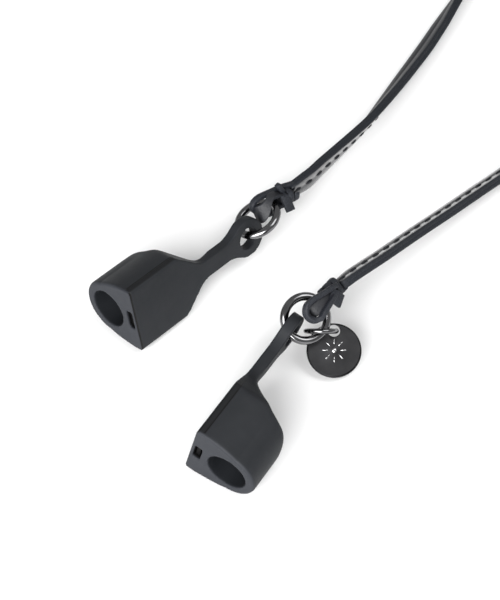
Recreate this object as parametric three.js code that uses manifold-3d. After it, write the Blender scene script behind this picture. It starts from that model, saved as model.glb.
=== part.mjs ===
// Neck strap for a pair of stem-type wireless earbuds, lying on a table.
// Millimetres, +Z up. The earbud holders' mouths face -Y and the strap leads away along +Y.
// The origin is on the table, under the middle of the holders, rings, charm and strap ends.
import * as THREE from 'three';
import { mergeVertices } from 'three/addons/utils/BufferGeometryUtils.js';
import Module from 'manifold-3d';

const wasm = await Module();
wasm.setup();

// ---- driving dimensions -------------------------------------------------------------------
const GAP = 0.3; // between touching pieces
const OVERCUT = 1; // how far a cutting or trimming solid reaches past the piece

// Earbud holder: a D-shaped silicone sleeve on a flat plate that narrows to a tab with an eye.
const BORE_RADIUS = 3.2; // for an earbud stem about 6 mm wide
const BORE_LENGTH = 8.2; // the bore is blind
const BORE_DEPTH = 6.15; // from the flat face to the middle of the bore
const CROWN_RADIUS = 4.7;
const FLAT_WIDTH = 11.56;
const CORNER = 0.6; // rounding between the flat face and the sides
const CORNER_DROP = 0.1;
const SIDE_BULGE = 0.7; // the sides are slightly rounded
const SLEEVE_LENGTH = 9.6; // full-width stretch, from the mouth
const HOLDER_DEPTH = BORE_DEPTH + CROWN_RADIUS;
const TAB_THICKNESS = 1.8;
const TAB_WIDTH = 3.1;
const EYE_DISTANCE = 25; // mouth to the middle of the eye
const EYE_OUTER_RADIUS = 3.3;
const EYE_HOLE_RADIUS = 1.7;
const TAPER_START = SLEEVE_LENGTH - 0.9; // where the sides begin to narrow and the back to drop
const SHOULDER_START = 6.2; // where the sleeve's back begins to round over
const SHOULDER = [HOLDER_DEPTH - 1.3, SLEEVE_LENGTH - 0.25]; // depth and distance, halfway round
const SHOULDER_BEND = [TAB_THICKNESS + 2.6, SLEEVE_LENGTH + 0.8]; // bends the slope below the shoulder
const SHOULDER_END = 14.8; // where the sleeve's sloping back meets the plate
const FLANK = [2.9, 13.2]; // half width and distance where the tapering plate starts to curve in
const NECK_BEND = [2.2, 14]; // bends the plate's edge between the flank and the tab
const NECK_EASE = 1.9; // length over which that curve runs out along the tab
const NECK_END = 16.5; // where the plate has narrowed to the tab
const EYE_BLEND_START = 20; // where the tab starts to widen into the eye
const EYE_BLEND_TURN = 55; // degrees round the eye, from the tab's middle line
const HOLDER_REACH = EYE_DISTANCE + EYE_OUTER_RADIUS + OVERCUT;

// Magnet, in a pocket between the bore and the flat face.
const POCKET_DEPTH = 0.5; // from the flat face
const POCKET = { thick: 1.25, long: 3.4, wide: 3.2 };
const MAGNET_RECESS = 0.4;

// Metal rings and charm.
const RING_RADIUS = 3.35; // to the middle of the wire
const RING_WIRE = 0.65; // radius of the wire
const JUMP_RADIUS = 2.3;
const JUMP_WIRE = 0.4;
const CHARM_RADIUS = 4.2;
const CHARM_THICKNESS = 0.8;
const CHARM_HOLE_RADIUS = 0.85;
const CHARM_HOLE_OFFSET = 3.05; // from the middle of the disc

// Leather strap: two layers sewn together, its ends folded round the rings and tied with lace.
const STRAP_WIDTH = 3.15;
const STRAP_THICKNESS = 1.45;
const LOOP_LEATHER = 0.8; // thickness where the end is skived and folded
const LOOP_WIDTH = 2.3;
const LOOP_SLOT_RADIUS = 1.1; // the opening the ring's wire lies in is a slot
const LOOP_SLOT_FAR = -1.1; // ends of the slot's middle line, from the wire
const LOOP_SLOT_NEAR = 0.3;
const LOOP_SHOULDER = 1.2; // where the sides of the loop turn in towards the tie
const LOOP_LENGTH = 4.2; // from the ring's wire to the start of the strap
const TIE_START = 2.1;
const TIE_BAND = 2;
const LACE_THICKNESS = 0.7;
const LACE_WIDTH = 1.3;
const KNOT = { long: 1.9, high: 0.9, wide: 1.8 };
const KNOT_RISE = 0.2; // from the band's face to the knot's middle
const TAIL_START = 0.6; // from the band's middle, along the strap
const TAIL_ANGLE = 60; // degrees, between a tail and the strap
const TAIL_LENGTHS = [2, 3.4];

// Coil of the spare strap: two layers of turns, one on the other, with both ends leaving it.
const COIL_OUTER_TURN = 18.9; // radius of the outermost turn, to the middle of the leather
const COIL_INNER_TURN = 14.3;
const COIL_HEIGHT = 2 * STRAP_WIDTH + GAP;
const COIL_CENTRE = [1.3, 112.9];

const RUN_STEP = 8.2; // length of one straight piece of a free stretch

// Flat facets standing in for each round shape.
const FACETS = {
  section: 10,
  outline: 8,
  bore: 28,
  eye: 24,
  disc: 24,
  loop: 14,
  ring: 40,
  ringWire: 12,
  jumpRing: 28,
  jumpWire: 8,
  run: 8,
  coil: 48,
};

// Where things lie, with directions as [azimuth, elevation] in degrees, azimuth from +X.
const LEFT_HOLDER = { mouth: [-10.28, -12.48, 6.69], heading: -5.35, pitch: -3.5, roll: 165.5 };
const RIGHT_HOLDER = { mouth: [10.34, -24.81, 5.94], heading: 5.35, pitch: 1.5, roll: 13.2 };
const LEFT_RING = { centre: [-9.1, 16.1, 5.7], normal: [-146.5, 66.2], pull: [88, 0], lead: [80, -5] };
const RIGHT_RING = { centre: [9.7, 3.6, 7.15], normal: [-32.1, 49.1], pull: [90, 0], lead: [90, 0] };
const CHARM_RING = { centre: [11.9, 4.65, 4.75], normal: [127.75, 39.1] };
const CHARM_HOLE = { centre: [13.03, 6.44, 3.86], upslope: [127.75, 27.7] };

// Middle of the strap from each end to the coil, chosen by hand.
const LEFT_RUN = [
  [-8.47, 23.8, 6.05],
  [-7.9, 28, 5.8],
  [-7.95, 31.6, 5.6],
  [-8.1, 36.1, 5.1],
  [-8.4, 41.4, 4.4],
  [-8.8, 46.4, 3.8],
  [-9.75, 52.4, 3.1],
  [-10.75, 58.8, 2.6],
  [-12.2, 67.9, 2.1],
  [-13.6, 75.3, 1.85],
  [-15.1, 82.8, 1.7],
  [-16.5, 90.6, 1.65],
  [-17.3, 96.6, 1.65],
  [-17.6, 102, 1.65],
];
const RIGHT_RUN = [
  [10.4, 11.3, 8.15],
  [10.65, 14.6, 7.85],
  [11.4, 20.6, 6.9],
  [12.2, 28.9, 5.4],
  [13.1, 36.7, 4.1],
  [14, 44.3, 3],
  [14.9, 50.6, 2.3],
  [15.9, 57.6, 1.9],
  [17, 65.6, 1.75],
  [18, 73.6, 1.7],
  [18.9, 81.6, 1.8],
  [19.6, 89.6, 2.4],
  [20, 96.1, 3.4],
  [20.15, 102, 4.4],
];

// ---- materials ----------------------------------------------------------------------------
const silicone = { color: 0x2b2f33, roughness: 0.75, metalness: 0 };
const gunmetal = { color: 0x4a4a4e, roughness: 0.2, metalness: 1 };
const magnetic = { color: 0x77787a, roughness: 0.35, metalness: 1 };
const leather = { color: 0x17191d, roughness: 0.6, metalness: 0 };

// ---- small tools --------------------------------------------------------------------------
const radians = THREE.MathUtils.degToRad;

function direction([azimuth, elevation]) {
  const flat = Math.cos(radians(elevation));
  return new THREE.Vector3(
    flat * Math.cos(radians(azimuth)),
    flat * Math.sin(radians(azimuth)),
    Math.sin(radians(elevation)),
  );
}

function solid(geometry) {
  const bare = geometry.clone();
  bare.deleteAttribute('normal');
  bare.deleteAttribute('uv');
  const merged = mergeVertices(bare, 1e-5);
  const vertProperties = new Float32Array(merged.attributes.position.array);
  const triVerts = new Uint32Array(merged.index.array);
  return new wasm.Manifold(new wasm.Mesh({ numProp: 3, vertProperties, triVerts }));
}

function surface(manifold) {
  const { vertProperties, triVerts } = manifold.getMesh();
  const geometry = new THREE.BufferGeometry();
  geometry.setAttribute('position', new THREE.BufferAttribute(vertProperties, 3));
  geometry.setIndex(new THREE.BufferAttribute(triVerts, 1));
  geometry.computeVertexNormals();
  return geometry;
}

function piece(name, geometry, finish) {
  const mesh = new THREE.Mesh(geometry, new THREE.MeshStandardMaterial(finish));
  mesh.name = name;
  return mesh;
}

// A shape drawn in XY and extruded along Z, centred on the XY plane.
function plate(shape, thickness, curveSegments = 12) {
  const geometry = new THREE.ExtrudeGeometry(shape, {
    depth: thickness,
    bevelEnabled: false,
    curveSegments,
  });
  return geometry.translate(0, 0, -thickness / 2);
}

// A place with its local X, Y and Z along three given directions.
function place(origin, x, y, z) {
  const group = new THREE.Group();
  group.matrixAutoUpdate = false;
  group.matrix.makeBasis(x, y, z).setPosition(origin);
  return group;
}

function torus(name, radius, wire, sides, steps, finish) {
  const section = [];
  for (let i = 0; i <= sides; i += 1) {
    const turn = (i / sides) * 2 * Math.PI;
    section.push(new THREE.Vector2(radius + wire * Math.cos(turn), wire * Math.sin(turn)));
  }
  return piece(name, new THREE.LatheGeometry(section, steps), finish);
}

// ---- earbud holder: local X is depth from the flat face, Y runs from the mouth to the eye ----
function sleeveSection() {
  const half = FLAT_WIDTH / 2;
  const lean = Math.atan2(half, BORE_DEPTH);
  const tangent = Math.PI - lean - Math.acos(CROWN_RADIUS / Math.hypot(half, BORE_DEPTH));
  const side = [
    BORE_DEPTH + CROWN_RADIUS * Math.cos(tangent),
    CROWN_RADIUS * Math.sin(tangent),
  ];
  const middle = [side[0] / 2 + SIDE_BULGE, (half + side[1]) / 2 + SIDE_BULGE];
  const shape = new THREE.Shape();
  shape.moveTo(0, -half + CORNER);
  shape.lineTo(0, half - CORNER);
  shape.quadraticCurveTo(0, half, CORNER, half - CORNER_DROP);
  shape.quadraticCurveTo(middle[0], middle[1], side[0], side[1]);
  shape.absarc(BORE_DEPTH, 0, CROWN_RADIUS, tangent, -tangent, true);
  shape.quadraticCurveTo(middle[0], -middle[1], CORNER, -half + CORNER_DROP);
  shape.quadraticCurveTo(0, -half, 0, -half + CORNER);
  return shape;
}

function sideProfile() {
  const shape = new THREE.Shape();
  shape.moveTo(0, 0);
  shape.lineTo(HOLDER_DEPTH, 0);
  shape.lineTo(HOLDER_DEPTH, SHOULDER_START);
  shape.quadraticCurveTo(HOLDER_DEPTH, TAPER_START, ...SHOULDER);
  shape.quadraticCurveTo(...SHOULDER_BEND, TAB_THICKNESS, SHOULDER_END);
  shape.lineTo(TAB_THICKNESS, HOLDER_REACH);
  shape.lineTo(0, HOLDER_REACH);
  return shape;
}

// Drawn with X as width and Y as distance from the mouth.
function planOutline() {
  const half = FLAT_WIDTH / 2 + OVERCUT;
  const tab = TAB_WIDTH / 2;
  const turn = radians(EYE_BLEND_TURN);
  const blendEnd = [
    EYE_OUTER_RADIUS * Math.sin(turn),
    EYE_DISTANCE - EYE_OUTER_RADIUS * Math.cos(turn),
  ];
  const blendCorner = blendEnd[1] - (blendEnd[0] - tab) * Math.tan(turn);
  const neckEase = NECK_END - NECK_EASE;
  const shape = new THREE.Shape();
  shape.moveTo(-half, 0);
  shape.lineTo(half, 0);
  shape.lineTo(half, TAPER_START);
  shape.lineTo(...FLANK);
  shape.bezierCurveTo(...NECK_BEND, tab, neckEase, tab, NECK_END);
  shape.lineTo(tab, EYE_BLEND_START);
  shape.quadraticCurveTo(tab, blendCorner, ...blendEnd);
  shape.absarc(0, EYE_DISTANCE, EYE_OUTER_RADIUS, turn - Math.PI / 2, -Math.PI / 2 - turn, false);
  shape.quadraticCurveTo(-tab, blendCorner, -tab, EYE_BLEND_START);
  shape.lineTo(-tab, NECK_END);
  shape.bezierCurveTo(-tab, neckEase, -NECK_BEND[0], NECK_BEND[1], -FLANK[0], FLANK[1]);
  shape.lineTo(-half, TAPER_START);
  return shape;
}

function holderSolid() {
  const sleeve = plate(sleeveSection(), HOLDER_REACH, FACETS.section);
  sleeve.rotateX(Math.PI / 2).translate(0, HOLDER_REACH / 2, 0);
  const profile = plate(sideProfile(), FLAT_WIDTH + 2 * OVERCUT, FACETS.section);
  const outline = plate(planOutline(), 2 * (HOLDER_DEPTH + OVERCUT), FACETS.outline);
  outline.rotateY(Math.PI / 2);
  const bore = new THREE.CylinderGeometry(BORE_RADIUS, BORE_RADIUS, 2 * BORE_LENGTH, FACETS.bore);
  bore.translate(BORE_DEPTH, 0, 0);
  const pocket = new THREE.BoxGeometry(POCKET.thick, 2 * POCKET.long, POCKET.wide);
  pocket.translate(POCKET_DEPTH + POCKET.thick / 2, 0, 0);
  const eyeCut = 2 * (TAB_THICKNESS + OVERCUT);
  const eye = new THREE.CylinderGeometry(EYE_HOLE_RADIUS, EYE_HOLE_RADIUS, eyeCut, FACETS.eye);
  eye.rotateZ(Math.PI / 2).translate(0, EYE_DISTANCE, 0);
  return solid(sleeve)
    .intersect(solid(profile))
    .intersect(solid(outline))
    .subtract(solid(bore))
    .subtract(solid(pocket))
    .subtract(solid(eye));
}

function holder(side, { mouth, heading, pitch, roll }) {
  const group = new THREE.Group();
  group.position.set(...mouth);
  group.rotation.set(radians(pitch), radians(roll), radians(heading), 'ZXY');
  group.add(piece(`${side}_holder`, surface(holderSolid()), silicone));
  const magnet = new THREE.BoxGeometry(
    POCKET.thick - 2 * GAP,
    POCKET.long - MAGNET_RECESS - GAP,
    POCKET.wide - 2 * GAP,
  );
  magnet.translate(
    POCKET_DEPTH + POCKET.thick / 2,
    (POCKET.long + MAGNET_RECESS - GAP) / 2,
    0,
  );
  group.add(piece(`${side}_magnet`, magnet, magnetic));
  return group;
}

// ---- rings and charm ----------------------------------------------------------------------
function ring(name, { centre, normal }, radius, wire, sides, steps) {
  const mesh = torus(name, radius, wire, sides, steps, gunmetal);
  mesh.position.set(...centre);
  mesh.quaternion.setFromUnitVectors(new THREE.Vector3(0, 1, 0), direction(normal));
  return mesh;
}

function charmDisc() {
  const up = direction(CHARM_HOLE.upslope);
  const [azimuth, elevation] = CHARM_HOLE.upslope;
  const normal = direction([azimuth + 180, 90 - elevation]);
  const across = new THREE.Vector3().crossVectors(up, normal);
  const outline = new THREE.Shape();
  outline.absarc(0, -CHARM_HOLE_OFFSET, CHARM_RADIUS, 0, 2 * Math.PI, false);
  const hole = new THREE.Path();
  hole.absarc(0, 0, CHARM_HOLE_RADIUS, 0, 2 * Math.PI, false);
  outline.holes.push(hole);
  const group = place(new THREE.Vector3(...CHARM_HOLE.centre), across, up, normal);
  group.add(piece('charm_disc', plate(outline, CHARM_THICKNESS, FACETS.disc), gunmetal));
  return group;
}

// ---- strap ends: local X leads along the strap, Z lies nearly along the ring's wire ----------
// The loop sits on the ring's wire in the direction `pull` from the ring's middle.
function strapEnd({ centre, normal, pull, lead }) {
  const axis = direction(normal);
  const toWire = direction(pull).projectOnPlane(axis).normalize();
  const wire = new THREE.Vector3(...centre).addScaledVector(toWire, RING_RADIUS);
  const along = direction(lead);
  const across = new THREE.Vector3().crossVectors(axis, toWire).projectOnPlane(along).normalize();
  const thick = new THREE.Vector3().crossVectors(across, along);
  return place(wire, along, thick, across);
}

function loopShape() {
  const outer = LOOP_SLOT_RADIUS + LOOP_LEATHER;
  const shape = new THREE.Shape();
  shape.moveTo(LOOP_LENGTH, -LOOP_LEATHER);
  shape.lineTo(LOOP_LENGTH, LOOP_LEATHER);
  shape.lineTo(TIE_START, LOOP_LEATHER);
  shape.quadraticCurveTo(LOOP_SHOULDER, outer, LOOP_SLOT_FAR, outer);
  shape.absarc(LOOP_SLOT_FAR, 0, outer, Math.PI / 2, 1.5 * Math.PI, false);
  shape.quadraticCurveTo(LOOP_SHOULDER, -outer, TIE_START, -LOOP_LEATHER);
  const slot = new THREE.Path();
  slot.absarc(LOOP_SLOT_FAR, 0, LOOP_SLOT_RADIUS, Math.PI / 2, 1.5 * Math.PI, false);
  slot.absarc(LOOP_SLOT_NEAR, 0, LOOP_SLOT_RADIUS, -Math.PI / 2, Math.PI / 2, false);
  shape.holes.push(slot);
  return shape;
}

function box(x, y, z, centre) {
  return new THREE.BoxGeometry(x, y, z).translate(...centre);
}

function laceTail(length, side, centre) {
  const tail = box(length, LACE_THICKNESS, LACE_WIDTH, [0, 0, 0]);
  return tail.rotateY(-side * radians(TAIL_ANGLE)).translate(...centre);
}

// One length of lace: a band round the folded leather, a knot on one face and two cut tails.
// `face` is the side the knot is on; `longTail` is the side the longer tail leaves on.
function laceSolid(face, longTail) {
  const inner = [LOOP_LEATHER + GAP, LOOP_WIDTH / 2 + GAP];
  const outer = inner.map((half) => half + LACE_THICKNESS);
  const middle = TIE_START + TIE_BAND / 2;
  const band = solid(box(TIE_BAND, 2 * outer[0], 2 * outer[1], [middle, 0, 0])).subtract(
    solid(box(TIE_BAND + OVERCUT, 2 * inner[0], 2 * inner[1], [middle, 0, 0])),
  );
  const top = face * (outer[0] + KNOT_RISE);
  const knot = box(KNOT.long, KNOT.high, KNOT.wide, [middle, top, 0]);
  const [short, long] = TAIL_LENGTHS.map((length, i) => {
    const side = i === 0 ? -longTail : longTail;
    return laceTail(length, side, [middle + TAIL_START, top, (side * length) / 2]);
  });
  return band.add(solid(knot)).add(solid(short)).add(solid(long));
}

function tiedEnd(side, ringPlace) {
  const group = strapEnd(ringPlace);
  group.add(piece(`${side}_strap_loop`, plate(loopShape(), LOOP_WIDTH, FACETS.loop), leather));
  group.add(piece(`${side}_tie_lace`, surface(laceSolid(-1, -1)), leather));
  return group;
}

// ---- strap: two free stretches and the coil -------------------------------------------------
function run(name, points) {
  const path = new THREE.CatmullRomCurve3(points.map((p) => new THREE.Vector3(...p)));
  const section = new THREE.Shape();
  for (let i = 0; i < FACETS.run; i += 1) {
    const turn = ((i + 0.5) / FACETS.run) * 2 * Math.PI;
    const corner = [Math.cos(turn), Math.sin(turn)].map((v) => (v * STRAP_WIDTH) / 2);
    if (i === 0) section.moveTo(...corner);
    else section.lineTo(...corner);
  }
  const steps = Math.round(path.getLength() / RUN_STEP);
  const tube = new THREE.ExtrudeGeometry(section, { extrudePath: path, steps, bevelEnabled: false });
  return piece(name, tube, leather);
}

function coil() {
  const inner = COIL_INNER_TURN - STRAP_THICKNESS / 2;
  const outer = COIL_OUTER_TURN + STRAP_THICKNESS / 2;
  const profile = [
    [inner, 0],
    [outer, 0],
    [outer, COIL_HEIGHT],
    [inner, COIL_HEIGHT],
    [inner, 0],
  ].map(([x, y]) => new THREE.Vector2(x, y));
  const mesh = piece('strap_coil', new THREE.LatheGeometry(profile, FACETS.coil), leather);
  mesh.rotation.x = Math.PI / 2;
  mesh.position.set(...COIL_CENTRE, 0);
  return mesh;
}

// ---- assembly -----------------------------------------------------------------------------
const strap = new THREE.Group();
strap.add(holder('left', LEFT_HOLDER));
strap.add(holder('right', RIGHT_HOLDER));
strap.add(ring('left_ring', LEFT_RING, RING_RADIUS, RING_WIRE, FACETS.ringWire, FACETS.ring));
strap.add(ring('right_ring', RIGHT_RING, RING_RADIUS, RING_WIRE, FACETS.ringWire, FACETS.ring));
strap.add(ring('charm_jump_ring', CHARM_RING, JUMP_RADIUS, JUMP_WIRE, FACETS.jumpWire, FACETS.jumpRing));
strap.add(charmDisc());
strap.add(tiedEnd('left', LEFT_RING));
strap.add(tiedEnd('right', RIGHT_RING));
strap.add(run('strap_run_left', LEFT_RUN));
strap.add(run('strap_run_right', RIGHT_RUN));
strap.add(coil());

export default strap;
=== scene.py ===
from math import acos, atan2, cos, hypot, pi, radians, sin, tan

import bmesh
import bpy
from mathutils import Matrix, Vector


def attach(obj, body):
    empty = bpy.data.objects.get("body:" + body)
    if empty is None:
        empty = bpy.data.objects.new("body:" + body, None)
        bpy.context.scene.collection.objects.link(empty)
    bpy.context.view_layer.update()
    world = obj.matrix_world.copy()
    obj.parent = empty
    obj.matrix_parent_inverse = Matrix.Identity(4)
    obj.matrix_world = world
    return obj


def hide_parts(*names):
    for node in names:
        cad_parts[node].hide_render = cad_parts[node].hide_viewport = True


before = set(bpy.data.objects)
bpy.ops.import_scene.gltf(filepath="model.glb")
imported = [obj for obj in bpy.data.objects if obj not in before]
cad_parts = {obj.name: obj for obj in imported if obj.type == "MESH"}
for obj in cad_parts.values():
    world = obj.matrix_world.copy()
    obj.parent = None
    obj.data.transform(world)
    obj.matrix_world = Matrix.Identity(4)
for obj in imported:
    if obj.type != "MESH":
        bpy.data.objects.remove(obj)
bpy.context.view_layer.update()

MM = 0.001

# ---- camera -------------------------------------------------------------------------------
CAMERA_TARGET = Vector((-2.7, 5.9, 0)) * MM
CAMERA_AZIMUTH = radians(37.75)
CAMERA_ELEVATION = radians(50.87)
CAMERA_DISTANCE = 279.25 * MM
LENS = 106.5


def direction(azimuth, elevation):
    """A unit vector, from degrees; azimuth is from +X."""
    a, e = radians(azimuth), radians(elevation)
    return Vector((cos(e) * cos(a), cos(e) * sin(a), sin(e)))


def clamp(value):
    return min(1, max(0, value))


def ease(share):
    """A share from 0 to 1, made gentle at both ends."""
    return share * share * (3 - 2 * share)


def add_camera():
    data = bpy.data.cameras.new("camera")
    data.lens = LENS
    data.clip_start = 0.01
    camera = bpy.data.objects.new("camera", data)
    bpy.context.scene.collection.objects.link(camera)
    flat = cos(CAMERA_ELEVATION)
    back = Vector(
        (sin(CAMERA_AZIMUTH) * flat, -cos(CAMERA_AZIMUTH) * flat, sin(CAMERA_ELEVATION))
    )
    camera.location = CAMERA_TARGET + back * CAMERA_DISTANCE
    camera.rotation_euler = (-back).to_track_quat("-Z", "Y").to_euler()
    bpy.context.scene.camera = camera


add_camera()


# ---- materials ----------------------------------------------------------------------------
class Nodes:
    """A material's node tree, with short calls to add nodes and links."""

    def __init__(self, name):
        self.material = bpy.data.materials.new(name)
        self.material.use_nodes = True
        self.tree = self.material.node_tree
        self.shader = self.tree.nodes["Principled BSDF"]
        self.place = self.add("ShaderNodeTexCoord").outputs["Object"]

    def add(self, kind, **values):
        node = self.tree.nodes.new(kind)
        for key, value in values.items():
            setattr(node, key, value)
        return node

    def link(self, source, target):
        self.tree.links.new(source, target)

    def set(self, **values):
        for key, value in values.items():
            self.shader.inputs[key.replace("_", " ")].default_value = value

    def noise(self, scale, detail=3.0, roughness=0.55, place=None):
        node = self.add("ShaderNodeTexNoise")
        node.inputs["Scale"].default_value = scale
        node.inputs["Detail"].default_value = detail
        node.inputs["Roughness"].default_value = roughness
        self.link(place or self.place, node.inputs["Vector"])
        return node.outputs["Fac"]

    def cells(self, scale):
        node = self.add("ShaderNodeTexVoronoi", feature="F1")
        node.inputs["Scale"].default_value = scale
        self.link(self.place, node.inputs["Vector"])
        return node.outputs["Distance"]

    def ramp(self, source, low, high, start=0.0, end=1.0):
        node = self.add("ShaderNodeMapRange")
        node.inputs["From Min"].default_value = start
        node.inputs["From Max"].default_value = end
        node.inputs["To Min"].default_value = low
        node.inputs["To Max"].default_value = high
        self.link(source, node.inputs["Value"])
        return node.outputs["Result"]

    def mix(self, factor, first, second):
        node = self.add("ShaderNodeMix", data_type="RGBA")
        self.link(factor, node.inputs["Factor"])
        for socket, value in ((node.inputs["A"], first), (node.inputs["B"], second)):
            if isinstance(value, bpy.types.NodeSocket):
                self.link(value, socket)
            else:
                socket.default_value = (*value, 1)
        return node.outputs["Result"]

    def math(self, operation, first, second):
        node = self.add("ShaderNodeMath", operation=operation)
        for socket, value in zip(node.inputs, (first, second)):
            if isinstance(value, bpy.types.NodeSocket):
                self.link(value, socket)
            else:
                socket.default_value = value
        return node.outputs["Value"]

    def past(self, source, start, end):
        """A mask that is 0 up to start and 1 from end on."""
        return self.ramp(source, 0, 1, start, end)

    def short_of(self, source, start, end):
        """A mask that is 1 up to start and 0 from end on."""
        return self.ramp(source, 1, 0, start, end)

    def all_of(self, *masks):
        made = masks[0]
        for mask in masks[1:]:
            made = self.math("MULTIPLY", made, mask)
        return made

    def bump(self, height, strength, distance):
        node = self.add("ShaderNodeBump")
        node.inputs["Strength"].default_value = strength
        node.inputs["Distance"].default_value = distance
        self.link(height, node.inputs["Height"])
        self.link(node.outputs["Normal"], self.shader.inputs["Normal"])


def silicone():
    """Matt moulded silicone with fine grain and faint clouding, and painted light and shade: the mouth
    painted paler for the light it catches, a painted shade band along the flat face's edge, and painted
    near-black shade in the parting groove, in the pocket and round the mouth's lip.
    """
    m = Nodes("silicone")
    m.set(IOR=1.42, Specular_IOR_Level=0.35)
    cloud = m.past(m.noise(260, 4), 0.35, 0.7)
    colour = m.mix(cloud, (0.0105, 0.012, 0.0145), (0.0135, 0.015, 0.018))
    split = m.add("ShaderNodeSeparateXYZ")
    local = m.add("ShaderNodeAttribute", attribute_name="local")
    m.link(local.outputs["Vector"], split.inputs["Vector"])
    depth, distance = split.outputs["X"], split.outputs["Y"]
    side = m.math("ABSOLUTE", split.outputs["Z"], 0)

    # The masks' limits are millimetres in the holder's own frame.
    # A painted shade band: darker along the fillet between the flat face and the sides.
    fillet_shade_band = m.all_of(
        m.past(depth, 0.1, 0.25),
        m.short_of(depth, 0.95, 1.02),
        m.past(side, 1.2, 1.5),
        m.short_of(distance, 10, 13),
    )
    # Painted near-black shade in the groove along the parting line; the same mask also sinks the groove by
    # bump.
    parting_groove_and_shade = m.all_of(
        m.past(depth, 0.96, 1.0),
        m.short_of(depth, 1.12, 1.17),
        m.short_of(distance, 9, 11),
        m.past(side, 3.2, 3.4),
        m.past(distance, 0.35, 0.6),
    )
    # Painted black shade inside the magnet pocket.
    pocket = m.all_of(
        m.past(depth, 0.35, 0.45),
        m.short_of(depth, 1.8, 1.95),
        m.short_of(side, 1.65, 1.75),
        m.short_of(distance, 4, 5),
    )
    # The mouth face painted paler for the light it catches from the front.
    mouth = m.short_of(distance, 0.12, 0.4)
    # Painted black shade round the mouth's rounded lip, on the flat face; the same mask also sinks it by
    # bump.
    mouth_lip_groove_and_shade = m.all_of(
        m.past(distance, 0.04, 0.1),
        m.short_of(distance, 0.3, 0.42),
        m.short_of(depth, 0.12, 0.3),
    )
    # Near black for the painted shade in the pocket and round the mouth's lip.
    painted_black_shade = (0.001, 0.001, 0.001)
    colour = m.mix(fillet_shade_band, colour, (0.0045, 0.005, 0.006))
    colour = m.mix(parting_groove_and_shade, colour, (0.0005, 0.0005, 0.0005))
    colour = m.mix(pocket, colour, painted_black_shade)
    colour = m.mix(mouth, colour, (0.018, 0.020, 0.025))
    m.link(m.mix(mouth_lip_groove_and_shade, colour, painted_black_shade), m.shader.inputs["Base Color"])
    m.link(m.ramp(m.noise(500, 3), 0.52, 0.68), m.shader.inputs["Roughness"])
    grain = m.math("MULTIPLY", m.noise(9000, 2), 0.07)
    grooves = m.math("ADD", parting_groove_and_shade, mouth_lip_groove_and_shade)
    m.bump(m.math("SUBTRACT", grain, grooves), 1.0, 0.00015)
    return m.material


def leather(name, dark, light, rough, shine, grain, depth, polish=0.0):
    """Leather with a pebbled grain. grain is the scale of the pebbles, depth their height in metres
    and polish the strength of the waxed coat."""
    m = Nodes(name)
    m.set(IOR=1.5, Specular_IOR_Level=shine, Coat_Weight=polish, Coat_Roughness=0.16, Coat_IOR=2.0)
    pebbles = m.cells(grain)
    fine = m.noise(grain * 2.2, 4, 0.6)
    height = m.math("ADD", m.ramp(pebbles, 0, 1, 0.1, 0.7), fine)
    wear = m.math("MULTIPLY", m.ramp(m.noise(320, 4), 0.7, 1.3), m.ramp(fine, 0, 1, 0.36, 0.68))
    m.link(m.mix(wear, dark, light), m.shader.inputs["Base Color"])
    m.link(m.ramp(fine, rough - 0.08, rough + 0.1), m.shader.inputs["Roughness"])
    m.bump(height, 0.5, depth)
    return m.material


def thread():
    m = Nodes("thread")
    m.set(Roughness=0.75)
    twist = m.add("ShaderNodeTexWave", wave_type="BANDS", bands_direction="DIAGONAL")
    twist.inputs["Scale"].default_value = 900
    m.link(m.place, twist.inputs["Vector"])
    strands = twist.outputs["Fac"]
    colour = m.mix(strands, (0.004, 0.005, 0.007), (0.012, 0.013, 0.017))
    m.link(colour, m.shader.inputs["Base Color"])
    m.bump(strands, 0.4, 0.00004)
    return m.material


def metal(name, dark, light, low, high):
    """Plated metal; low and high are the roughness where it is polished and where it is handled."""
    m = Nodes(name)
    m.set(Metallic=1.0)
    smudge = m.past(m.noise(420, 4), 0.4, 0.65)
    m.link(m.mix(smudge, dark, light), m.shader.inputs["Base Color"])
    m.link(m.ramp(m.noise(900, 3), low, high, 0.3, 0.7), m.shader.inputs["Roughness"])
    m.bump(m.noise(5000, 2), 0.08, 0.00002)
    return m.material


def floor_paint():
    m = Nodes("floor_paint")
    m.set(Roughness=0.9)
    colour = m.mix(m.noise(6, 2), (0.90, 0.90, 0.90), (0.92, 0.92, 0.92))
    m.link(colour, m.shader.inputs["Base Color"])
    return m.material


SILICONE = silicone()
GRAIN_FACE = leather(
    "leather_face", dark=(0.006, 0.007, 0.010), light=(0.011, 0.012, 0.016),
    rough=0.3, shine=0.5, grain=2600, depth=0.00002, polish=0.8,
)
BACK_FACE = leather(
    "leather_back", dark=(0.006, 0.007, 0.009), light=(0.016, 0.017, 0.021),
    rough=0.46, shine=0.4, grain=2600, depth=0.00003,
)
CUT_EDGE = leather(
    "leather_edge", dark=(0.003, 0.004, 0.006), light=(0.019, 0.022, 0.029),
    rough=0.62, shine=0.3, grain=4200, depth=0.00006,
)
LACE = leather(
    "leather_lace", dark=(0.005, 0.006, 0.009), light=(0.023, 0.026, 0.034),
    rough=0.55, shine=0.35, grain=3400, depth=0.00009,
)
FOLD_FACE = leather(
    "leather_fold", dark=(0.012, 0.013, 0.016), light=(0.020, 0.021, 0.025),
    rough=0.5, shine=0.4, grain=3000, depth=0.00005,
)
THREAD = thread()
GUNMETAL = metal(
    "gunmetal", dark=(0.15, 0.15, 0.155), light=(0.21, 0.21, 0.215), low=0.07, high=0.13
)
CHARM_METAL = metal(
    "charm_metal", dark=(0.044, 0.044, 0.046), light=(0.052, 0.052, 0.054), low=0.34, high=0.38
)
CHARM_RAISED = metal(
    "charm_raised", dark=(0.4, 0.4, 0.41), light=(0.5, 0.5, 0.5), low=0.12, high=0.2
)
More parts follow.
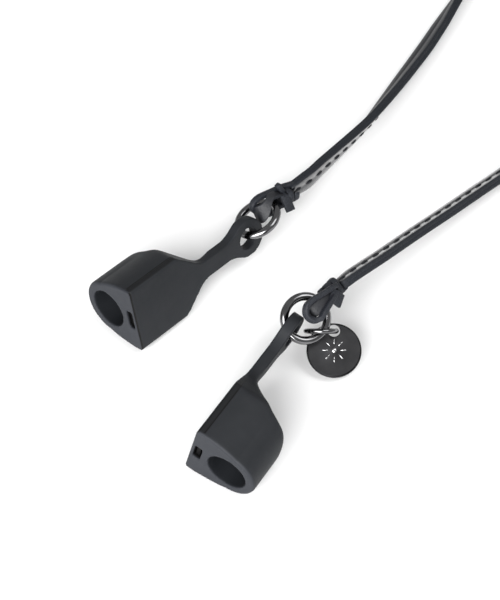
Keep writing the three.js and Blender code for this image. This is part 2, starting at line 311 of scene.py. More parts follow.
# Painted shade for the charm's rounded rim.
CHARM_RIM_SHADE = metal(
    "charm_rim_shade", dark=(0.012, 0.012, 0.013), light=(0.02, 0.02, 0.021), low=0.3, high=0.4
)
# The magnets are painted near black for the shade of the pocket they sit in.
SHADED_MAGNET = metal(
    "magnet_pocket_shade", dark=(0.001, 0.001, 0.0012), light=(0.002, 0.002, 0.0022), low=0.5, high=0.6
)
FLOOR = floor_paint()


# ---- mesh tools ---------------------------------------------------------------------------
def piece(name, mesh, materials, body):
    """A finished piece: mesh in metres, in the shared frame, riding on a CAD body."""
    for material in materials:
        mesh.materials.append(material)
    mesh.polygons.foreach_set("use_smooth", [True] * len(mesh.polygons))
    obj = bpy.data.objects.new(name, mesh)
    bpy.context.scene.collection.objects.link(obj)
    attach(obj, body)
    return obj


def mesh_of(name, points, faces, kinds=None):
    mesh = bpy.data.meshes.new(name)
    mesh.from_pydata([tuple(p) for p in points], [], faces)
    if kinds:
        mesh.polygons.foreach_set("material_index", kinds)
    mesh.update()
    return mesh


def face_outwards(mesh):
    """Turns every face of a closed mesh to point out."""
    turned = bmesh.new()
    turned.from_mesh(mesh)
    bmesh.ops.recalc_face_normals(turned, faces=turned.faces)
    turned.to_mesh(mesh)
    turned.free()
    return mesh


class Skin:
    """Points and faces gathered from several sweeps, to make one mesh."""

    def __init__(self):
        self.points, self.faces, self.kinds = [], [], []

    def sweep(self, centres, across, normals, profile, kind, closed=False):
        """A closed profile of (across, normal) pairs carried along centres.
        kind is one material number, or one for each side of the profile."""
        first, count = len(self.points), len(profile)
        for c, w, n in zip(centres, across, normals):
            self.points += [c + w * a + n * b for a, b in profile]
        rings = len(centres)
        for i in range(rings if closed else rings - 1):
            here, there = first + i * count, first + ((i + 1) % rings) * count
            for j in range(count):
                k = (j + 1) % count
                self.faces.append((here + j, here + k, there + k, there + j))
                self.kinds.append(kind[j] if isinstance(kind, list) else kind)
        if not closed:
            end_kind = kind[count // 4] if isinstance(kind, list) else kind
            for ring, order in ((0, -1), (rings - 1, 1)):
                start = first + ring * count
                middle = len(self.points)
                self.points.append(sum(self.points[start:start + count], Vector()) / count)
                for j in range(count):
                    k = (j + 1) % count
                    face = (start + j, start + k, middle)
                    self.faces.append(face if order > 0 else face[::-1])
                    self.kinds.append(end_kind)

    def mesh(self, name, scale=1.0, matrix=None):
        points = self.points
        if matrix is not None:
            points = [matrix @ p for p in points]
        return face_outwards(mesh_of(name, [p * scale for p in points], self.faces, self.kinds))


def smooth_curve(points, step):
    """Points a step apart or less along a Catmull-Rom curve through the given ones."""
    ends = [points[0] * 2 - points[1], *points, points[-1] * 2 - points[-2]]
    made = []
    for a, b, c, d in zip(ends, ends[1:], ends[2:], ends[3:]):
        parts = max(1, round((c - b).length / step))
        for i in range(parts):
            t = i / parts
            made.append(
                0.5 * (2 * b + (c - a) * t + (2 * a - 5 * b + 4 * c - d) * t**2
                       + (3 * b - a - 3 * c + d) * t**3)
            )
    made.append(points[-1].copy())
    return made


def tangents(points):
    count = len(points)
    return [
        (points[min(i + 1, count - 1)] - points[max(i - 1, 0)]).normalized() for i in range(count)
    ]


def round_profile(half_width, half_thick, corner, steps=4):
    """A rectangle with rounded corners, as (across, normal) pairs."""
    made = []
    for quarter, (sx, sy) in enumerate(((1, 1), (-1, 1), (-1, -1), (1, -1))):
        for i in range(steps + 1):
            turn = (quarter + i / steps) * pi / 2
            made.append(
                (sx * (half_width - corner) + corner * cos(turn),
                 sy * (half_thick - corner) + corner * sin(turn))
            )
    return made


def circle_profile(radius, sides):
    turns = [2 * pi * i / sides for i in range(sides)]
    return [(radius * cos(t), radius * sin(t)) for t in turns]


def ribbon(skin, path, across, profile, kind, step=0.25, flare=None):
    """A strip along path with its width nearly along across; flare(point) scales the width."""
    centres = smooth_curve(path, step)
    ways = tangents(centres)
    sides = [(across - t * across.dot(t)).normalized() for t in ways]
    normals = [t.cross(w) for w, t in zip(sides, ways)]
    if flare:
        sides = [w * flare(c) for w, c in zip(sides, centres)]
    skin.sweep(centres, sides, normals, profile, kind)


# ---- the strap, a free cord ------------------------------------------------------------------
STRAP_WIDTH = 3.15
STRAP_THICKNESS = 1.45
CHANNEL_DEPTH = 0.13
CHANNEL_HALF_WIDTH = 0.42
SEAM_DEPTH = 0.09
SEAM_HALF_WIDTH = 0.12
COIL_CENTRE = Vector((1.3, 112.9, 0))
COIL_OUTER_TURN = 18.9
COIL_INNER_TURN = 14.3
COIL_TURNS = 4.5
STEPS_PER_TURN = 40
CLIMB_TURNS = 0.25
LOW_TURNS_Z = 1.65
HIGH_TURNS_Z = 4.95
ROUTE_STEP = 1.0
END_WIDTH = 0.7  # share of the full width at each end
END_WIDENING = 0.1  # share gained at each step from the end
STITCH_PITCH = 2.6
STITCH_LENGTH = 1.45
FIRST_STITCH = 1.2
STITCH_SINK = 0.04
THREAD_RADIUS = 0.2
# One stitch: how far along it, the thread's size there, and its lift off the leather.
STITCH = (
    (-0.5, 0.3, -0.09),
    (-0.42, 0.8, -0.03),
    (-0.2, 1, 0.03),
    (0.2, 1, 0.03),
    (0.42, 0.8, -0.03),
    (0.5, 0.3, -0.09),
)
FRONT, EDGE, SEWING, BACK = range(4)  # the strap's materials

# Middle of the strap and its roll in degrees, from each end to the coil.
# At roll 0 the strap stands on edge, with its sewn face towards the inside of the coil.
LEFT_RUN = [
    (-8.47, 23.8, 6.05, 7),
    (-7.9, 28, 5.8, 2),
    (-7.95, 31.6, 5.6, -3),
    (-8.1, 36.1, 5.1, -9),
    (-8.4, 41.4, 4.4, -17),
    (-8.8, 46.4, 3.8, -25),
    (-9.75, 52.4, 3.1, -36),
    (-10.75, 58.8, 2.6, -45),
    (-12.2, 67.9, 2.1, -52),
    (-13.6, 75.3, 1.85, -48),
    (-15.1, 82.8, 1.7, -30),
    (-16.5, 90.6, 1.65, -10),
    (-17.3, 96.6, 1.65, 0),
    (-17.6, 102, 1.65, 0),
]
RIGHT_RUN = [
    (10.4, 11.3, 8.15, 52),
    (10.65, 14.6, 7.85, 52),
    (11.4, 20.6, 6.9, 52),
    (12.2, 28.9, 5.4, 52),
    (13.1, 36.7, 4.1, 52),
    (14, 44.3, 3, 52),
    (14.9, 50.6, 2.3, 51),
    (15.9, 57.6, 1.9, 48),
    (17, 65.6, 1.75, 42),
    (18, 73.6, 1.7, 33),
    (18.9, 81.6, 1.8, 20),
    (19.6, 89.6, 2.4, 8),
    (20, 96.1, 3.4, 0),
    (20.15, 102, 4.4, 0),
]


def coil_points():
    """The turns, clockwise from the west side: inwards on the table, then outwards on top."""
    made = []
    steps = round(COIL_TURNS * STEPS_PER_TURN)
    half = COIL_TURNS / 2
    for i in range(steps + 1):
        turned = i / STEPS_PER_TURN
        inward = min(turned, COIL_TURNS - turned) / half
        radius = COIL_OUTER_TURN + (COIL_INNER_TURN - COIL_OUTER_TURN) * inward
        climb = ease(clamp((turned - half) / CLIMB_TURNS + 0.5))
        angle = pi - 2 * pi * turned
        made.append(
            COIL_CENTRE
            + Vector((radius * cos(angle), radius * sin(angle), LOW_TURNS_Z))
            + Vector((0, 0, climb * (HIGH_TURNS_Z - LOW_TURNS_Z)))
        )
    return made


def strap_route():
    """Points of the strap's middle line in millimetres, and its roll at each."""
    turns = coil_points()
    knots = (
        [(Vector(p[:3]), p[3]) for p in LEFT_RUN]
        + [(p, 0) for p in turns]
        + [(Vector(p[:3]), p[3]) for p in reversed(RIGHT_RUN)]
    )
    points = smooth_curve([p for p, _ in knots], ROUTE_STEP)
    rolls = []
    for (a, roll_a), (b, roll_b) in zip(knots, knots[1:]):
        parts = max(1, round((b - a).length / ROUTE_STEP))
        rolls += [roll_a + (roll_b - roll_a) * i / parts for i in range(parts)]
    rolls.append(knots[-1][1])
    return points, rolls


def strap_frames(points, rolls):
    across, normals = [], []
    for way, roll in zip(tangents(points), rolls):
        side = way.cross(Vector((0, 0, 1))).normalized()
        up = side.cross(way)
        normal = side * cos(radians(roll)) + up * sin(radians(roll))
        normals.append(normal)
        across.append(way.cross(normal))
    return across, normals


def strap_profile():
    """The two-layer section as (across, normal) pairs, and the material of each side of it.
    Each face has a channel down its middle, and each edge a groove between the layers."""
    half, thick = STRAP_WIDTH / 2, STRAP_THICKNESS / 2
    quarter = [
        (0, thick - CHANNEL_DEPTH),
        (0.22, thick - 0.1),
        (CHANNEL_HALF_WIDTH, thick),
        (half - 0.32, thick),
        (half - 0.16, thick - 0.04),
        (half - 0.05, thick - 0.14),
        (half, thick - 0.28),
        (half, SEAM_HALF_WIDTH),
        (half - SEAM_DEPTH, 0),
    ]
    front = [FRONT] * 4 + [EDGE] * 4
    back = [EDGE] * 4 + [BACK] * 4
    right = quarter + [(w, -n) for w, n in reversed(quarter[:-1])]
    left = [(-w, n) for w, n in reversed(right[1:-1])]
    return right + left, front + back + back[::-1] + front[::-1]


def add_stitches(skin, points, across, normals):
    """Stitches down the middle of the sewn face."""
    rise = STRAP_THICKNESS / 2 - STITCH_SINK
    profile = circle_profile(THREAD_RADIUS, 6)
    travelled, next_stitch = 0.0, FIRST_STITCH
    for i in range(1, len(points) - 1):
        step = points[i] - points[i - 1]
        way = step.normalized()
        travelled += step.length
        if travelled < next_stitch:
            continue
        middle = points[i] - way * (travelled - next_stitch) + normals[i] * rise
        next_stitch += STITCH_PITCH
        centres = [middle + way * (STITCH_LENGTH * a) + normals[i] * lift for a, _, lift in STITCH]
        wide = [across[i] * size for _, size, _ in STITCH]
        high = [normals[i] * size for _, size, _ in STITCH]
        skin.sweep(centres, wide, high, profile, SEWING)


def add_strap():
    points, rolls = strap_route()
    across, normals = strap_frames(points, rolls)
    skin = Skin()
    profile, kinds = strap_profile()
    last = len(points) - 1
    shares = [min(1, END_WIDTH + END_WIDENING * min(i, last - i)) for i in range(last + 1)]
    skin.sweep(points, [w * share for w, share in zip(across, shares)], normals, profile, kinds)
    add_stitches(skin, points, across, normals)
    strap = piece(
        "neck_strap",
        skin.mesh("neck_strap", MM),
        [GRAIN_FACE, CUT_EDGE, THREAD, BACK_FACE],
        "strap",
    )
    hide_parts("strap_run_left", "strap_coil", "strap_run_right")


add_strap()


# ---- rings, loops and ties --------------------------------------------------------------------
RING_RADIUS = 3.35
RING_WIRE = 0.65
JUMP_RADIUS = 2.3
JUMP_WIRE = 0.4
RING_STEPS = 96
HOLE_CLEARANCE = 0.12  # added to the radius of the CAD's holes; found by trial, to clear the rings

FOLD_THICKNESS = 0.6
FOLD_CORNER = 0.13
TWIST_START = 0.3
TWIST_LENGTH = 3.0
FLARE_START = -1.0
FLARE_LENGTH = 1.5
WRAP_TURNS = 2.6
WRAP_STEPS = 90
WRAP_START = 1.5
WRAP_LENGTH = 3.1
WRAP_SQUARENESS = 0.62  # 1 would make the turns oval, less makes them boxier
STRAND_STEP = 0.2
WRAP_STEP = 0.25
WRAP_PROFILE = round_profile(0.5, 0.3, 0.18, 3)
LACE_PROFILE = round_profile(0.5, 0.42, 0.2, 3)
FLAP = round_profile(0.8, 0.28, 0.12, 3)
WIDE_FLAP = round_profile(1.1, 0.28, 0.12, 3)

# A ring's centre and axis, the direction from its centre to the fold, the way the strap leads
# off, and the shapes of the folded end and of the lace's strands in the fold's own frame.
LEFT_RING = {
    "centre": (-9.1, 16.1, 5.7), "normal": (-146.5, 66.2), "pull": (88, 0), "lead": (80, -5),
    "roll": 15, "twist": 50, "sag": 0.5, "rise": 1.6, "flare": 0.9,
    "fold_middle": -0.35, "fold_half_width": 0.75, "wrap_high": 0.85, "wrap_wide": 1.3,
    "strands": [
        {
            "path": [(6.3, -0.7, 0.2), (4.6, -1.0, 0.3), (2.9, -1.2, 0.6), (1.4, -1.3, 0.7),
                     (-0.3, -1.45, 0.8), (-1.6, -1.45, 0.9), (-2.6, -1.0, 0.9), (-2.9, -0.3, 0.8),
                     (-2.7, 0.4, 0.7)],
            "across": (0, 0, 1),
            "profile": LACE_PROFILE,
        },
        {
            "path": [(2.4, -0.9, -1.0), (2.2, -0.4, -1.7), (2.1, 0.2, -2.3), (2.0, 0.9, -2.95)],
            "across": (1, 0, 0),
            "profile": FLAP,
        },
        {
            "path": [(2.7, -1.1, -0.2), (2.2, -1.9, -0.1), (1.9, -2.7, 0.1)],
            "across": (0, 0, 1),
            "profile": LACE_PROFILE,
        },
    ],
}
RIGHT_RING = {
    "centre": (9.7, 3.6, 7.15), "normal": (-32.1, 49.1), "pull": (90, 0), "lead": (90, 0),
    "roll": 0, "twist": 0, "sag": 0, "rise": 1.25, "flare": 0,
    "fold_middle": 0.3, "fold_half_width": 0.95, "wrap_high": 0.95, "wrap_wide": 1.2,
    "strands": [
        {
            "path": [(3.2, -1.3, 0.7), (2.0, -1.65, 1.0), (0.0, -1.85, 1.4), (-1.8, -1.8, 1.8),
                     (-3.1, -1.6, 1.8), (-3.8, -1.1, 1.1), (-3.9, -0.9, 0.1), (-3.4, -1.0, -0.8),
                     (-2.6, -1.4, -1.1), (-1.7, -1.8, -0.8), (-0.5, -1.9, -0.5), (0.9, -1.75, -0.3),
                     (2.4, -1.4, -0.2)],
            "across": (0.3, -0.9, -0.1),
            "profile": LACE_PROFILE,
        },
        {
            "path": [(1.2, -1.4, 0.3), (1.5, -1.75, -0.3), (1.7, -1.7, -0.9), (2.0, -1.5, -1.6)],
            "across": (1, 0, 0.35),
            "profile": WIDE_FLAP,
        },
    ],
}
CHARM_RING = {"centre": (11.9, 4.65, 4.75), "normal": (127.75, 39.1)}


def add_ring(name, place, radius, wire, node):
    centre, axis = Vector(place["centre"]), direction(*place["normal"])
    first = axis.orthogonal().normalized()
    second = axis.cross(first)
    turns = [2 * pi * i / RING_STEPS for i in range(RING_STEPS)]
    rays = [first * cos(t) + second * sin(t) for t in turns]
    centres = [centre + ray * radius for ray in rays]
    skin = Skin()
    skin.sweep(centres, rays, [axis] * RING_STEPS, circle_profile(wire, 24), 0, True)
    ring = piece(name, skin.mesh(name, MM), [GUNMETAL], node)
    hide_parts(node)


add_ring("left_split_ring", LEFT_RING, RING_RADIUS, RING_WIRE, "left_ring")
add_ring("right_split_ring", RIGHT_RING, RING_RADIUS, RING_WIRE, "right_ring")
add_ring("charm_link", CHARM_RING, JUMP_RADIUS, JUMP_WIRE, "charm_jump_ring")


def strap_end_matrix(place):
    """Local X leads along the strap, Z lies nearly along the ring's wire, the origin is on it."""
    axis = direction(*place["normal"])
    to_wire = direction(*place["pull"])
    to_wire = (to_wire - axis * to_wire.dot(axis)).normalized()
    wire = Vector(place["centre"]) + to_wire * RING_RADIUS
    along = direction(*place["lead"])
    across = axis.cross(to_wire)
    across = (across - along * across.dot(along)).normalized()
    thick = across.cross(along)
    matrix = Matrix((along, thick, across)).transposed().to_4x4()
    matrix.translation = wire
    return matrix @ Matrix.Rotation(radians(place["roll"]), 4, "X")


def twisted(points, twist, sag):
    """Points turned about X and moved along Y: not at all on the strap's side of the wire, and more
    and more beyond it."""
    made = []
    for p in points:
        share = clamp((TWIST_START - p.x) / TWIST_LENGTH)
        turn = Matrix.Rotation(radians(twist) * ease(share), 3, "X")
        made.append(turn @ p + Vector((0, sag * share * share, 0)))
    return made


def fold_path(place):
    """The middle of the folded end: out along one side, round, and back along the other."""
    rise = place["rise"]
    half = [(4.4, 0.5), (3.6, 0.42), (2.6, 0.55), (1.4, 0.8 * rise), (0.2, rise), (-1.2, rise)]
    half += [(-2.1, 0.74 * rise), (-2.6, 0.3 * rise)]
    outline = [(x, -y) for x, y in half] + half[::-1]
    return [Vector((x, y, place["fold_middle"])) for x, y in outline]


def fold_profile(place):
    """The skived strap's section, and for each side of it 0 on a face and 1 on an edge."""
    profile = round_profile(place["fold_half_width"], FOLD_THICKNESS / 2, FOLD_CORNER)
    on_face = 0.9 * FOLD_THICKNESS
    kinds = []
    for (_, n0), (_, n1) in zip(profile, profile[1:] + profile[:1]):
        kinds.append(0 if abs(n0 + n1) > on_face else 1)
    return profile, kinds


def add_strap_loop(side, place):
    """The strap's end, skived thin and narrow, and folded round the ring."""

    def widening(point):
        return 1 + place["flare"] * clamp((FLARE_START - point.x) / FLARE_LENGTH)

    skin = Skin()
    profile, kinds = fold_profile(place)
    ribbon(skin, fold_path(place), Vector((0, 0, 1)), profile, kinds, STRAND_STEP, widening)
    skin.points = twisted(skin.points, place["twist"], place["sag"])
    loop = piece(
        f"{side}_folded_end",
        skin.mesh(f"{side}_folded_end", MM, strap_end_matrix(place)),
        [FOLD_FACE, CUT_EDGE],
        "strap",
    )
    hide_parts(f"{side}_strap_loop")


def boxy(value):
    """A sine or cosine pushed outwards, so that a circle becomes a rounded box."""
    return abs(value) ** WRAP_SQUARENESS * (1 if value > 0 else -1)


def add_wraps(skin, place):
    """The lace wound round the folded end."""
    path = []
    for i in range(WRAP_STEPS + 1):
        share = i / WRAP_STEPS
        turn = 2 * pi * WRAP_TURNS * share
        y = place["wrap_high"] * boxy(sin(turn))
        z = place["fold_middle"] + place["wrap_wide"] * boxy(cos(turn))
        path.append(Vector((WRAP_START + WRAP_LENGTH * share, y, z)))
    ribbon(skin, path, Vector((1, 0, 0)), WRAP_PROFILE, 0, WRAP_STEP)


def add_tie(side, place):
    """The lace: its wraps, the bight over the folded end, and its cut tails."""
    skin = Skin()
    add_wraps(skin, place)
    for strand in place["strands"]:
        path = [Vector(p) for p in strand["path"]]
        ribbon(skin, path, Vector(strand["across"]), strand["profile"], 0, STRAND_STEP)
    tie = piece(
        f"{side}_lace",
        skin.mesh(f"{side}_lace", MM, strap_end_matrix(place)),
        [LACE],
        "strap",
    )
    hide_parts(f"{side}_tie_lace")


for side, place in (("left", LEFT_RING), ("right", RIGHT_RING)):
    add_strap_loop(side, place)
    add_tie(side, place)


# ---- earbud holders -----------------------------------------------------------------------------
# Local X is depth from the flat face, Y runs from the mouth to the eye, Z is width.
BORE_RADIUS = 3.2
BORE_LENGTH = 8.2
BORE_DEPTH = 6.15
CROWN_RADIUS = 4.7
FLAT_WIDTH = 11.56
CORNER = 0.6
CORNER_DROP = 0.1
SIDE_BULGE = 0.7
SLEEVE_LENGTH = 9.6
HOLDER_DEPTH = BORE_DEPTH + CROWN_RADIUS
TAB_THICKNESS = 1.8
TAB_WIDTH = 3.1
EYE_DISTANCE = 25
EYE_OUTER_RADIUS = 3.3
EYE_HOLE_RADIUS = 1.7
TAPER_START = SLEEVE_LENGTH - 0.9
SHOULDER_START = 6.2
SHOULDER = (HOLDER_DEPTH - 1.3, SLEEVE_LENGTH - 0.25)
SHOULDER_BEND = (TAB_THICKNESS + 2.6, SLEEVE_LENGTH + 0.8)
SHOULDER_END = 14.8
FLANK = (13.2, 2.9)
NECK_BEND = (14, 2.2)
NECK_EASE = 1.9
NECK_END = 16.5
EYE_BLEND_START = 20
EYE_BLEND_TURN = radians(55)
OVERCUT = 1  # how far a cutting shape reaches past what it cuts
SLIVER = 0.01  # keeps the side outline's step off the plane of the mouth
BORE_SIDES = 64
HOLE_SIDES = 48
POCKET_DEPTH = 0.5
POCKET_THICK = 1.25
POCKET_LONG = 3.4
POCKET_WIDE = 3.2
MOUTH_ROUNDING = ((0, 0.42), (0.05, 0.26), (0.16, 0.12), (0.42, 0))  # distance from the mouth, inset
ROUNDING_DEPTH = 0.8  # the mouth's and the back's rounding begin at this depth from the flat face
MOUTH_FADE = 2.5
BACK_FADE = 1.2
BACK_MARGIN = 2
BACK_END = NECK_END + 1
SECTION_MIDDLE = 4.5
VOXEL = 0.15
EDGE_SMOOTHING = 5
BACK_SMOOTHING = 160
LEFT_HOLDER = {"mouth": (-10.28, -12.48, 6.69), "heading": -5.35, "pitch": -3.5, "roll": 165.5}
RIGHT_HOLDER = {"mouth": (10.34, -24.81, 5.94), "heading": 5.35, "pitch": 1.5, "roll": 13.2}


def quadratic(a, b, c, steps=10):
    made = []
    for i in range(1, steps + 1):
        t = i / steps
        made.append(tuple((1 - t) ** 2 * p + 2 * t * (1 - t) * q + t * t * r for p, q, r in zip(a, b, c)))
    return made


def cubic(a, b, c, d, steps=10):
    made = []
    for i in range(1, steps + 1):
        t = i / steps
        weights = ((1 - t) ** 3, 3 * t * (1 - t) ** 2, 3 * t * t * (1 - t), t**3)
        made.append(tuple(sum(k * v for k, v in zip(weights, values)) for values in zip(a, b, c, d)))
    return made


def arc(centre, radius, start, end, steps):
    return [
        (centre[0] + radius * cos(start + (end - start) * i / steps),
         centre[1] + radius * sin(start + (end - start) * i / steps))
        for i in range(steps + 1)
    ]


def circle(x, y, radius, sides):
    return arc((x, y), radius, 0, 2 * pi, sides)[:-1]


def sleeve_section():
    """The D section as (depth, width) pairs."""
    half = FLAT_WIDTH / 2
    turn = pi - atan2(half, BORE_DEPTH) - acos(CROWN_RADIUS / hypot(half, BORE_DEPTH))
    side = (BORE_DEPTH + CROWN_RADIUS * cos(turn), CROWN_RADIUS * sin(turn))
    middle = (side[0] / 2 + SIDE_BULGE, (half + side[1]) / 2 + SIDE_BULGE)
    upper = [(0, half - CORNER)]
    upper += quadratic(upper[0], (0, half), (CORNER, half - CORNER_DROP), 6)
    upper += quadratic(upper[-1], middle, side, 12)
    crown = arc((BORE_DEPTH, 0), CROWN_RADIUS, turn, -turn, 40)[1:-1]
    return upper + crown + [(x, -z) for x, z in reversed(upper)]


def side_profile():
    """The outline seen from the side, as (depth, distance from the mouth) pairs."""
    end = EYE_DISTANCE + EYE_OUTER_RADIUS + OVERCUT
    beyond = HOLDER_DEPTH + OVERCUT
    made = [(0, -OVERCUT), (beyond, -OVERCUT), (beyond, 0), (HOLDER_DEPTH, SLIVER)]
    made.append((HOLDER_DEPTH, SHOULDER_START))
    made += quadratic(made[-1], (HOLDER_DEPTH, TAPER_START), SHOULDER, 12)
    made += quadratic(SHOULDER, SHOULDER_BEND, (TAB_THICKNESS, SHOULDER_END), 20)
    return made + [(TAB_THICKNESS, end), (0, end)]


def plan_outline():
    """The outline seen on the flat face, as (distance from the mouth, width) pairs."""
    half = FLAT_WIDTH / 2 + OVERCUT
    tab = TAB_WIDTH / 2
    upper = [(-OVERCUT, half), (TAPER_START, half), FLANK]
    upper += cubic(FLANK, NECK_BEND, (NECK_END - NECK_EASE, tab), (NECK_END, tab))
    eye = arc((EYE_DISTANCE, 0), EYE_OUTER_RADIUS, pi - EYE_BLEND_TURN, EYE_BLEND_TURN - pi, 40)
    corner = (eye[0][0] - (eye[0][1] - tab) * tan(EYE_BLEND_TURN), tab)
    upper += quadratic((EYE_BLEND_START, tab), corner, eye[0], 10)[:-1]
    return upper + eye + [(y, -w) for y, w in reversed(upper)]


def prism(name, outline, low, high, place):
    """An outline between two heights; place turns (u, v, height) into a local point."""
    count = len(outline)
    points = [place(u, v, h) for h in (low, high) for u, v in outline]
    faces = [tuple(range(count)), tuple(range(2 * count - 1, count - 1, -1))]
    faces += [(i, (i + 1) % count, (i + 1) % count + count, i + count) for i in range(count)]
    return working_object(name, face_outwards(mesh_of(name, points, faces)))


def working_object(name, mesh):
    obj = bpy.data.objects.new(name, mesh)
    bpy.context.scene.collection.objects.link(obj)
    return obj


def apply_modifiers(obj):
    graph = bpy.context.evaluated_depsgraph_get()
    mesh = bpy.data.meshes.new_from_object(obj.evaluated_get(graph))
    obj.modifiers.clear()
    obj.data = mesh


def combine(obj, other, operation):
    cut = obj.modifiers.new("cut", "BOOLEAN")
    cut.object = other
    cut.operation = operation
    cut.solver = "EXACT"
    apply_modifiers(obj)
    bpy.data.objects.remove(other)


def sleeve_prism():
    """The D section with its crown rounded in at the mouth."""
    outline = sleeve_section()
    rings = (*MOUTH_ROUNDING, (EYE_DISTANCE + EYE_OUTER_RADIUS + 2 * OVERCUT, 0))
    points = []
    for y, inset in rings:
        for x, z in outline:
            share = inset * clamp((x - ROUNDING_DEPTH) / MOUTH_FADE)
            away = Vector((x - SECTION_MIDDLE, z)).normalized() * share
            points.append((x - away.x, y, z - away.y))
    count = len(outline)
    faces = [tuple(range(count)), tuple(range(len(rings) * count - 1, (len(rings) - 1) * count - 1, -1))]
    for r in range(len(rings) - 1):
        for i in range(count):
            k = (i + 1) % count
            faces.append((r * count + i, r * count + k, (r + 1) * count + k, (r + 1) * count + i))
    return working_object("sleeve", face_outwards(mesh_of("sleeve", points, faces)))


def along_depth(y, z, height):
    return height, y, z


def along_length(x, z, height):
    return x, height, z


def along_width(x, y, height):
    return x, y, height


def holder_solid():
    """The moulding with sharp edges, cut from the sleeve's section by its outlines and holes."""
    body = sleeve_prism()
    width = FLAT_WIDTH / 2 + 2 * OVERCUT
    half = POCKET_WIDE / 2
    near, far = POCKET_DEPTH, POCKET_DEPTH + POCKET_THICK
    slot = [(near, -half), (far, -half), (far, half), (near, half)]
    bore = circle(BORE_DEPTH, 0, BORE_RADIUS, BORE_SIDES)
    eye = circle(EYE_DISTANCE, 0, EYE_HOLE_RADIUS + HOLE_CLEARANCE, HOLE_SIDES)
    profile = prism("profile", side_profile(), -width, width, along_width)
    plan = prism("plan", plan_outline(), -OVERCUT, HOLDER_DEPTH + 2 * OVERCUT, along_depth)
    combine(body, profile, "INTERSECT")
    combine(body, plan, "INTERSECT")
    combine(body, prism("bore", bore, -OVERCUT, BORE_LENGTH, along_length), "DIFFERENCE")
    combine(body, prism("pocket", slot, -OVERCUT, POCKET_LONG, along_length), "DIFFERENCE")
    combine(body, prism("eye", eye, -OVERCUT, TAB_THICKNESS + OVERCUT, along_depth), "DIFFERENCE")
    return body


def add_back_weights(body):
    """The vertex group "back" is full on the slope between sleeve and tab, away from the flat face."""
    back = body.vertex_groups.new(name="back")
    for vertex in body.data.vertices:
        x, y, _ = vertex.co
        along = clamp((y - SHOULDER_START) / BACK_MARGIN) * clamp((BACK_END - y) / BACK_MARGIN)
        back.add([vertex.index], along * clamp((x - ROUNDING_DEPTH) / BACK_FADE), "REPLACE")


def holder_mesh():
    """The moulding in millimetres, with every edge softened."""
    body = holder_solid()
    remesh = body.modifiers.new("remesh", "REMESH")
    remesh.mode = "VOXEL"
    remesh.voxel_size = VOXEL
    apply_modifiers(body)
    add_back_weights(body)
    for name, iterations, group in (("soften", EDGE_SMOOTHING, ""), ("round_back", BACK_SMOOTHING, "back")):
        soften = body.modifiers.new(name, "SMOOTH")
        soften.factor = 0.5
        soften.iterations = iterations
        soften.vertex_group = group
    apply_modifiers(body)
    mesh = body.data
    bpy.data.objects.remove(body)
    # The silicone reads each point's place in this frame from the attribute "local".
    local = mesh.attributes.new("local", "FLOAT_VECTOR", "POINT")
    for i, vertex in enumerate(mesh.vertices):
        local.data[i].vector = vertex.co
    return mesh


def add_holder(side, place, moulding):
    pitch, roll, heading = (radians(place[key]) for key in ("pitch", "roll", "heading"))
    matrix = Matrix.Rotation(heading, 4, "Z")
    matrix = matrix @ Matrix.Rotation(pitch, 4, "X") @ Matrix.Rotation(roll, 4, "Y")
    matrix.translation = Vector(place["mouth"])
    mesh = moulding.copy()
    mesh.transform(Matrix.Scale(MM, 4) @ matrix)
    holder = piece(f"{side}_sleeve", mesh, [SILICONE], f"{side}_holder")
    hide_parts(f"{side}_holder")
    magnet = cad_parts[f"{side}_magnet"]
    # The magnet gets the near-black painted shade of its pocket.
    magnet.data.materials.clear()
    magnet.data.materials.append(SHADED_MAGNET)


moulding = holder_mesh()
add_holder("left", LEFT_HOLDER, moulding)
add_holder("right", RIGHT_HOLDER, moulding)
bpy.data.meshes.remove(moulding)


# ---- charm ----------------------------------------------------------------------------------------
CHARM_RADIUS = 4.2
CHARM_THICKNESS = 0.8
CHARM_HOLE_RADIUS = 0.85
CHARM_HOLE_OFFSET = 3.05
CHARM_HOLE = (13.03, 6.44, 3.86)
CHARM_UPSLOPE = (127.75, 27.7)
CHARM_RIM = 0.26  # width of the rounded rim
UPPER_SIDE = 0.05  # faces above this height are on the upper side
RIM_SHADE_BAND = (CHARM_RADIUS - 0.27, CHARM_RADIUS - 0.04)  # radii of the upper side's band, painted dark for the shade at the rounded rim
NEAR_AXIS = 0.001  # a turned profile stops just short of its axis
RAYS = 8
RAY_THICKNESS = 0.13
RAY_SINK = 0.02
# One stroke of the sunburst: distance from the middle, size there, and lift.
RAY = ((0.85, 0.25, 0), (1.0, 0.8, 0.03), (1.35, 1, 0.04), (1.75, 0.8, 0.03), (1.95, 0.25, 0))
DOT = [(NEAR_AXIS, 0.1), (0.2, 0.08), (0.36, 0.03), (0.42, -0.04), (NEAR_AXIS, -0.05)]


def charm_matrix():
    """Local Y points up the disc to its hole, Z out of its face; the origin is the hole."""
    up = direction(*CHARM_UPSLOPE)
    normal = direction(CHARM_UPSLOPE[0] + 180, 90 - CHARM_UPSLOPE[1])
    matrix = Matrix((up.cross(normal), up, normal)).transposed().to_4x4()
    matrix.translation = Vector(CHARM_HOLE)
    return matrix


def lathe(skin, profile, centre, steps=96):
    """A closed profile of (radius, height) pairs turned about Z through centre."""
    turns = [2 * pi * i / steps for i in range(steps)]
    rays = [Vector((cos(t), sin(t), 0)) for t in turns]
    skin.sweep([centre] * steps, rays, [Vector((0, 0, 1))] * steps, profile, 0, True)


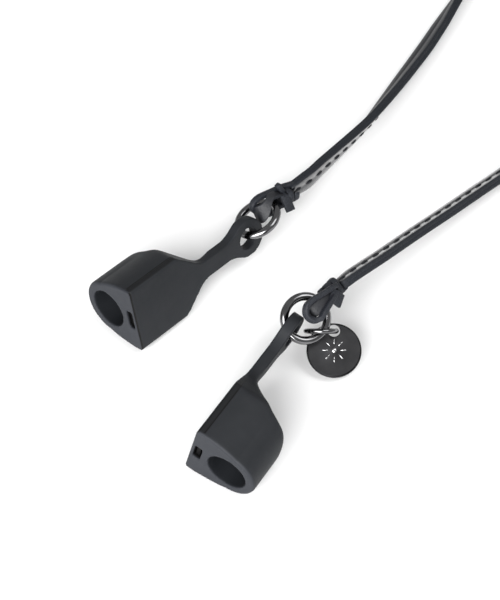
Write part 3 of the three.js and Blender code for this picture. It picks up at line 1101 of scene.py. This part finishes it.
def charm_disc(centre, half):
    """The disc with its hole, in millimetres."""
    outline = [(NEAR_AXIS, half), (CHARM_RADIUS - CHARM_RIM, half), (CHARM_RADIUS - 0.12, half - 0.06)]
    outline += [(CHARM_RADIUS - 0.03, half - 0.17), (CHARM_RADIUS, half - 0.3)]
    outline += [(r, -h) for r, h in reversed(outline)]
    skin = Skin()
    lathe(skin, outline, centre)
    disc = working_object("charm_blank", skin.mesh("charm_blank"))
    hole = circle(0, 0, CHARM_HOLE_RADIUS + HOLE_CLEARANCE, HOLE_SIDES)
    combine(disc, prism("charm_hole", hole, -OVERCUT, OVERCUT, along_width), "DIFFERENCE")
    edge = disc.modifiers.new("edge", "BEVEL")
    edge.width = 0.09
    edge.segments = 3
    edge.limit_method = "ANGLE"
    edge.angle_limit = radians(50)
    apply_modifiers(disc)
    mesh = disc.data
    bpy.data.objects.remove(disc)
    return mesh


def sunburst(centre, top):
    """Eight short strokes round a dot."""
    skin = Skin()
    for i in range(RAYS):
        turn = 2 * pi * i / RAYS
        out = Vector((cos(turn), sin(turn), 0))
        across = Vector((-sin(turn), cos(turn), 0))
        centres = [centre + out * r + Vector((0, 0, top + lift - RAY_SINK)) for r, _, lift in RAY]
        wide = [across * size for _, size, _ in RAY]
        high = [Vector((0, 0, size)) for _, size, _ in RAY]
        skin.sweep(centres, wide, high, circle_profile(RAY_THICKNESS, 8), 0)
    lathe(skin, [(r, h + top) for r, h in DOT], centre, 24)
    return skin


def add_charm():
    half = CHARM_THICKNESS / 2
    centre = Vector((0, -CHARM_HOLE_OFFSET, 0))
    mesh = charm_disc(centre, half)
    # A band near the rim of the upper side takes the painted rim shade.
    for face in mesh.polygons:
        out = (face.center - centre).to_2d().length
        if face.center.z > UPPER_SIDE and RIM_SHADE_BAND[0] < out < RIM_SHADE_BAND[1]:
            face.material_index = 1
    mesh.transform(Matrix.Scale(MM, 4) @ charm_matrix())
    mesh.set_sharp_from_angle(angle=radians(16))
    charm = piece("charm_medal", mesh, [CHARM_METAL, CHARM_RIM_SHADE], "charm_disc")
    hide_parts("charm_disc")
    piece(
        "charm_sunburst",
        sunburst(centre, half).mesh("charm_sunburst", MM, charm_matrix()),
        [CHARM_RAISED],
        "charm_disc",
    )


add_charm()


# ---- floor and light ------------------------------------------------------------------------------
FLOOR_HEIGHT = -0.4
FLOOR_REACH = 12.0  # metres to each side
LIGHT_TARGET = Vector((0, 10, 0)) * MM


def add_floor():
    corners = [(x * FLOOR_REACH, y * FLOOR_REACH, 0) for x, y in ((-1, -1), (1, -1), (1, 1), (-1, 1))]
    mesh = mesh_of("floor", corners, [(0, 1, 2, 3)])
    mesh.materials.append(FLOOR)
    obj = bpy.data.objects.new("floor", mesh)
    obj.location.z = FLOOR_HEIGHT * MM
    bpy.context.scene.collection.objects.link(obj)


def add_area_light(name, azimuth, elevation, distance, size, watts):
    """A soft square light that looks at the object; azimuth is from +X, in degrees."""
    data = bpy.data.lights.new(name, "AREA")
    data.shape = "SQUARE"
    data.size = size
    data.energy = watts
    light = bpy.data.objects.new(name, data)
    way = direction(azimuth, elevation)
    light.location = LIGHT_TARGET + way * distance
    light.rotation_euler = (-way).to_track_quat("-Z", "Y").to_euler()
    bpy.context.scene.collection.objects.link(light)


def add_world():
    world = bpy.data.worlds.new("studio")
    world.use_nodes = True
    background = world.node_tree.nodes["Background"]
    background.inputs["Color"].default_value = (1, 1, 1, 1)
    background.inputs["Strength"].default_value = 0.4
    bpy.context.scene.world = world
    bpy.context.scene.view_settings.view_transform = "Standard"


add_floor()
add_world()
add_area_light("key", azimuth=-75, elevation=26, distance=0.9, size=0.8, watts=18)
add_area_light("top", azimuth=30, elevation=62, distance=0.9, size=0.5, watts=3)
